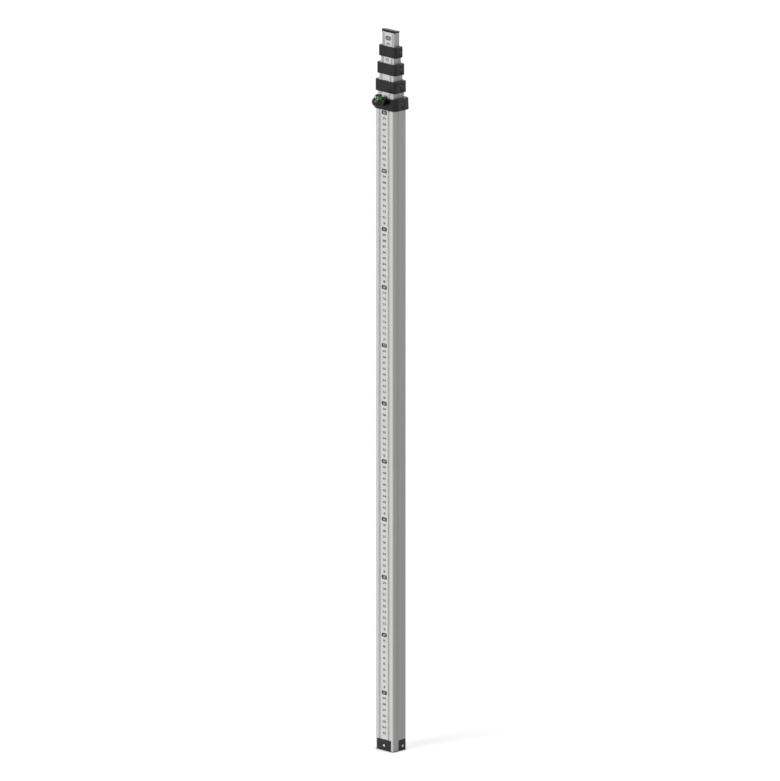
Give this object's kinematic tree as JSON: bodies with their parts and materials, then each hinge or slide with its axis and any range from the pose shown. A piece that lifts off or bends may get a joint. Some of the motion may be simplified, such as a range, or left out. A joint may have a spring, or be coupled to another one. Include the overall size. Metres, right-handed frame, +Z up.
{
  "type": "telescopic leveling staff",
  "caption": "Telescopic rectangular aluminium leveling staff with graduated faces, latching collars, a circular level, a foot plug and a top cap, shown closed.",
  "frame": {"origin": "centre of the sole, where the staff stands on a point and its graduation starts", "axes": "+Z up along the staff, -Y out of the graduated front, +X towards the side with the release levers"},
  "size_m": [0.0542, 0.0583, 1.2406],
  "materials": {
    "anodised_aluminium": "satin anodised",
    "scale_strip": "matt printed",
    "collar_plastic": "fine moulded",
    "lever_plastic": "fine moulded",
    "foot_plastic": "coarse moulded",
    "rivet_aluminium": "bright",
    "steel": "zinc plated",
    "clear_acrylic": "polished clear",
    "level_fluid": "green fluid",
    "level_base": "white"
  },
  "bodies": {
    "section_1": {"section_1_tube": "anodised_aluminium", "section_1_front_scale": "scale_strip", "section_1_rear_scale": "scale_strip", "foot_plug": "foot_plastic", "foot_rivets": "rivet_aluminium", "collar_1": "collar_plastic", "collar_screws_1": "steel", "latch_pin_1": "steel", "latch_spring_1": "steel", "level_base": "level_base", "level_vial": "clear_acrylic", "level_fluid": "level_fluid", "level_screws": "steel"},
    "section_2": {"section_2_tube": "anodised_aluminium", "section_2_front_scale": "scale_strip", "section_2_rear_scale": "scale_strip", "section_2_guide": "foot_plastic", "guide_rivets_2": "rivet_aluminium", "collar_2": "collar_plastic", "collar_screws_2": "steel", "latch_pin_2": "steel", "latch_spring_2": "steel"},
    "section_3": {"section_3_tube": "anodised_aluminium", "section_3_front_scale": "scale_strip", "section_3_rear_scale": "scale_strip", "section_3_guide": "foot_plastic", "guide_rivets_3": "rivet_aluminium", "collar_3": "collar_plastic", "collar_screws_3": "steel", "latch_pin_3": "steel", "latch_spring_3": "steel"},
    "section_4": {"section_4_tube": "anodised_aluminium", "section_4_front_scale": "scale_strip", "section_4_rear_scale": "scale_strip", "section_4_guide": "foot_plastic", "guide_rivets_4": "rivet_aluminium", "collar_4": "collar_plastic", "collar_screws_4": "steel", "latch_pin_4": "steel", "latch_spring_4": "steel"},
    "section_5": {"section_5_tube": "anodised_aluminium", "section_5_front_scale": "scale_strip", "section_5_rear_scale": "scale_strip", "section_5_guide": "foot_plastic", "guide_rivets_5": "rivet_aluminium", "top_cap": "collar_plastic"},
    "lever_1": {"release_lever_1": "lever_plastic"},
    "lever_2": {"release_lever_2": "lever_plastic"},
    "lever_3": {"release_lever_3": "lever_plastic"},
    "lever_4": {"release_lever_4": "lever_plastic"}
  },
  "joints": [
    {"name": "section_2_slide", "type": "slide", "parent": "section_1", "child": "section_2", "axis": [0, 0, 1], "range_m": [0, 0.9435]},
    {"name": "section_3_slide", "type": "slide", "parent": "section_2", "child": "section_3", "axis": [0, 0, 1], "range_m": [0, 0.9435]},
    {"name": "section_4_slide", "type": "slide", "parent": "section_3", "child": "section_4", "axis": [0, 0, 1], "range_m": [0, 0.9435]},
    {"name": "section_5_slide", "type": "slide", "parent": "section_4", "child": "section_5", "axis": [0, 0, 1], "range_m": [0, 0.9435]},
    {"name": "lever_1_rock", "type": "hinge", "parent": "section_1", "child": "lever_1", "pos_m": [0.0235, 0.0015, 1.11445], "axis": [0, 1, 0], "range_deg": [0, 12], "stiffness_Nm_per_rad": 0.02, "springref_deg": -11.46, "deforming": ["latch_spring_1"]},
    {"name": "lever_2_rock", "type": "hinge", "parent": "section_2", "child": "lever_2", "pos_m": [0.02185, 0.0015, 1.1438], "axis": [0, 1, 0], "range_deg": [0, 12], "stiffness_Nm_per_rad": 0.02, "springref_deg": -11.46, "deforming": ["latch_spring_2"]},
    {"name": "lever_3_rock", "type": "hinge", "parent": "section_3", "child": "lever_3", "pos_m": [0.0202, 0.0015, 1.17315], "axis": [0, 1, 0], "range_deg": [0, 12], "stiffness_Nm_per_rad": 0.02, "springref_deg": -11.46, "deforming": ["latch_spring_3"]},
    {"name": "lever_4_rock", "type": "hinge", "parent": "section_4", "child": "lever_4", "pos_m": [0.01855, 0.0015, 1.2025], "axis": [0, 1, 0], "range_deg": [0, 12], "stiffness_Nm_per_rad": 0.02, "springref_deg": -11.46, "deforming": ["latch_spring_4"]}
  ]
}
